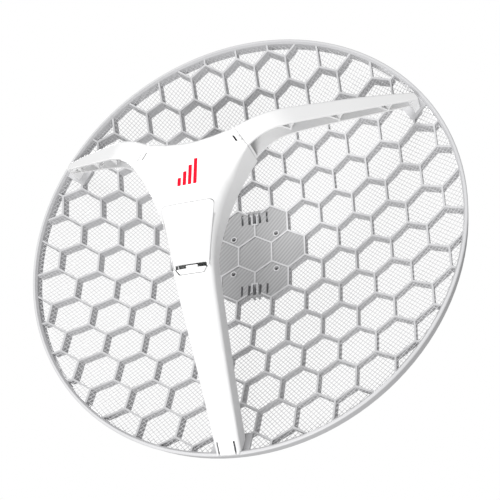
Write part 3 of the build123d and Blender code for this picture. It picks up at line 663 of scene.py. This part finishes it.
def foot_slit(side):
    """What is cut out of the foot beside one edge of its snap."""
    low = (8.3, -276.0, 60.0)
    high = (10.3, -261.6, 120.0)
    xs, ys, zs = zip(low, high)
    corners = [(side * x, y, z) for x in xs for y in ys for z in zs]
    sides = [(0, 1, 3, 2), (4, 6, 7, 5), (0, 4, 5, 1), (2, 3, 7, 6), (0, 2, 6, 4), (1, 5, 7, 3)]
    if side < 0:
        sides = [tuple(reversed(face)) for face in sides]
    return mesh_object("foot_slit", corners, sides, WHITE, False)


def front_cover():
    """The one-piece shell of the head and the leg."""
    loop, radii = cover_outline()
    holes = [list(reversed(hole)) for hole in [door_loop(GAP)] + release_slits()]
    shape = skin(loop, radii, head_depth, holes, rear_depth)
    piece = shell_piece("front_cover_shell", shape, WHITE, "antenna", "front_cover")
    for side in (-1, 1):
        cut(piece, foot_slit(side))
    piece.data.set_sharp_from_angle(angle=math.radians(38))


def port_door():
    """The door's plate, down to the slot above its latch."""
    corners = [
        (DOOR_HALF_TOP, DOOR_TOP, DOOR_CORNER), (-DOOR_HALF_TOP, DOOR_TOP, DOOR_CORNER),
        (-DOOR_HALF_WAIST, DOOR_WAIST, DOOR_CORNER), (-17.3, -108.0, 0.3),
        (-17.3, LATCH_TOP, 0.4), (17.3, LATCH_TOP, 0.4),
        (17.3, -108.0, 0.3), (DOOR_HALF_WAIST, DOOR_WAIST, DOOR_CORNER)]
    loop = divided(rounded(corners), 3.0)
    radii = [2.0 if y > DOOR_TOP - 1.5 else 0.25 for x, y in loop]
    shape = skin(loop, radii, head_depth, thickness=2.0)
    shell_piece("port_door_plate", shape, WHITE, "door", "port_door")


def latch_depth(x, y):
    """The latch's face: a low grooved neck above, and a shallow scoop in the finger pad."""
    depth = head_depth(x, y)
    neck = 1 / (1 + math.exp(-(y - LATCH_SLOT_BOTTOM) / 0.25))
    scoop = math.exp(-((y + 110.6) / 1.5) ** 2) / (1 + math.exp((abs(x) - 11) / 0.8))
    return depth - neck * (3.2 + 0.4 * math.cos(y * 4.0)) - 1.8 * scoop


def door_latch():
    """The latch: a narrow neck and the finger pad under it."""
    loop = divided(rounded([
        (6.4, LATCH_TOP - 0.3, 0.3), (-6.4, LATCH_TOP - 0.3, 0.3), (-6.4, LATCH_SLOT_BOTTOM, 0.3),
        (-PAD_HALF, LATCH_SLOT_BOTTOM, 0.5), (-PAD_HALF, -108.6, 1.5), (-13.0, PAD_BOTTOM, 2.4),
        (13.0, PAD_BOTTOM, 2.4), (PAD_HALF, -108.6, 1.5), (PAD_HALF, LATCH_SLOT_BOTTOM, 0.5),
        (6.4, LATCH_SLOT_BOTTOM, 0.3)]),
        0.8)
    shape = skin(loop, [0.2] * len(loop), latch_depth, thickness=2.0, spacing=0.8)
    shell_piece("door_latch_lever", shape, WHITE, "latch", "door_latch")


def printed_bars():
    """Four rising bars printed on the head, as a plain signal mark."""
    width, gap, foot = 4.0, 2.0, -20.0
    for index in range(4):
        left = -11 + index * (width + gap)
        top = foot + 10 + 7 * index
        loop = divided(rounded([(left + width, top, 1.0), (left, top, 1.0), (left, foot, 1.0),
                                (left + width, foot, 1.0)]), 2.0)
        radii = [0.03] * len(loop)
        shape = skin(loop, radii, lambda x, y: front_depth(x, y) + 0.12, thickness=0.3, spacing=2.0)
        shell_piece("signal_bar_%d" % (index + 1), shape, RED, "antenna")


# ---------------------------------------------------------------- scene

def floor():
    """A pale floor well below the antenna. The main view looks up and doesn't see it."""
    mesh = bpy.data.meshes.new("floor")
    half = 30.0
    corners = [(-half, -half), (half, -half), (half, half), (-half, half)]
    mesh.from_pydata([(x, y, FLOOR_LEVEL) for x, y in corners], [], [(0, 1, 2, 3)])
    piece = bpy.data.objects.new("floor", mesh)
    bpy.context.scene.collection.objects.link(piece)
    material, tree, shader = new_material("floor_paint", (0.9, 0.9, 0.9), 0.7)
    vary_color(tree, shader, add_noise(tree, 3.0), (0.88, 0.88, 0.88), (0.92, 0.92, 0.92))
    mesh.materials.append(material)


def area_light(name, location, target, size, power):
    """A square lamp that faces a target."""
    data = bpy.data.lights.new(name, "AREA")
    data.energy = power
    data.size = size
    light = bpy.data.objects.new(name, data)
    light.location = location
    light.rotation_euler = (Vector(target) - Vector(location)).to_track_quat("-Z", "Y").to_euler()
    bpy.context.scene.collection.objects.link(light)


def backdrop():
    """A white backdrop to look at, and a dimmer even light from all round."""
    world = bpy.data.worlds.new("studio")
    world.use_nodes = True
    tree = world.node_tree
    dome = tree.nodes["Background"]
    dome.inputs["Color"].default_value = (1, 1, 1, 1)
    dome.inputs["Strength"].default_value = 0.35
    seen = tree.nodes.new("ShaderNodeBackground")
    seen.inputs["Color"].default_value = (1, 1, 1, 1)
    seen.inputs["Strength"].default_value = 1.0
    path = tree.nodes.new("ShaderNodeLightPath")
    mix = tree.nodes.new("ShaderNodeMixShader")
    tree.links.new(path.outputs["Is Camera Ray"], mix.inputs[0])
    tree.links.new(dome.outputs["Background"], mix.inputs[1])
    tree.links.new(seen.outputs["Background"], mix.inputs[2])
    tree.links.new(mix.outputs["Shader"], tree.nodes["World Output"].inputs["Surface"])
    bpy.context.scene.world = world


def lights():
    """The backdrop, a broad key, one lamp from low ahead and one from behind."""
    backdrop()
    centre = (0, -0.15, 0)
    area_light("key", (-0.8, -2.4, 0.9), centre, 1.4, 44)
    area_light("low", (0.15, -1.92, -1.95), centre, 0.9, 52)
    area_light("back", (-1.3, 2.0, 1.6), centre, 1.4, 60)


def camera():
    """The main view, from below the dish's axis and to its right."""
    data = bpy.data.cameras.new("camera")
    data.sensor_width = 36
    data.lens = 56.88
    data.clip_start = 0.01
    view = bpy.data.objects.new("camera", data)
    forward = Vector((-0.299, 0.844, 0.445)).normalized()
    up = Vector((0.147, -0.420, 0.896))
    right = forward.cross(up).normalized()
    up = right.cross(forward)
    turn = Matrix((right, up, -forward)).transposed().to_4x4()
    view.matrix_world = Matrix.Translation(place(299.4, -449.0, 865.1)) @ turn
    bpy.context.scene.collection.objects.link(view)
    bpy.context.scene.camera = view


camera()
dress_cad_nodes()
wire_mesh()
front_cover()
port_door()
door_latch()
printed_bars()
floor()
lights()
bpy.context.scene.view_settings.view_transform = "Standard"
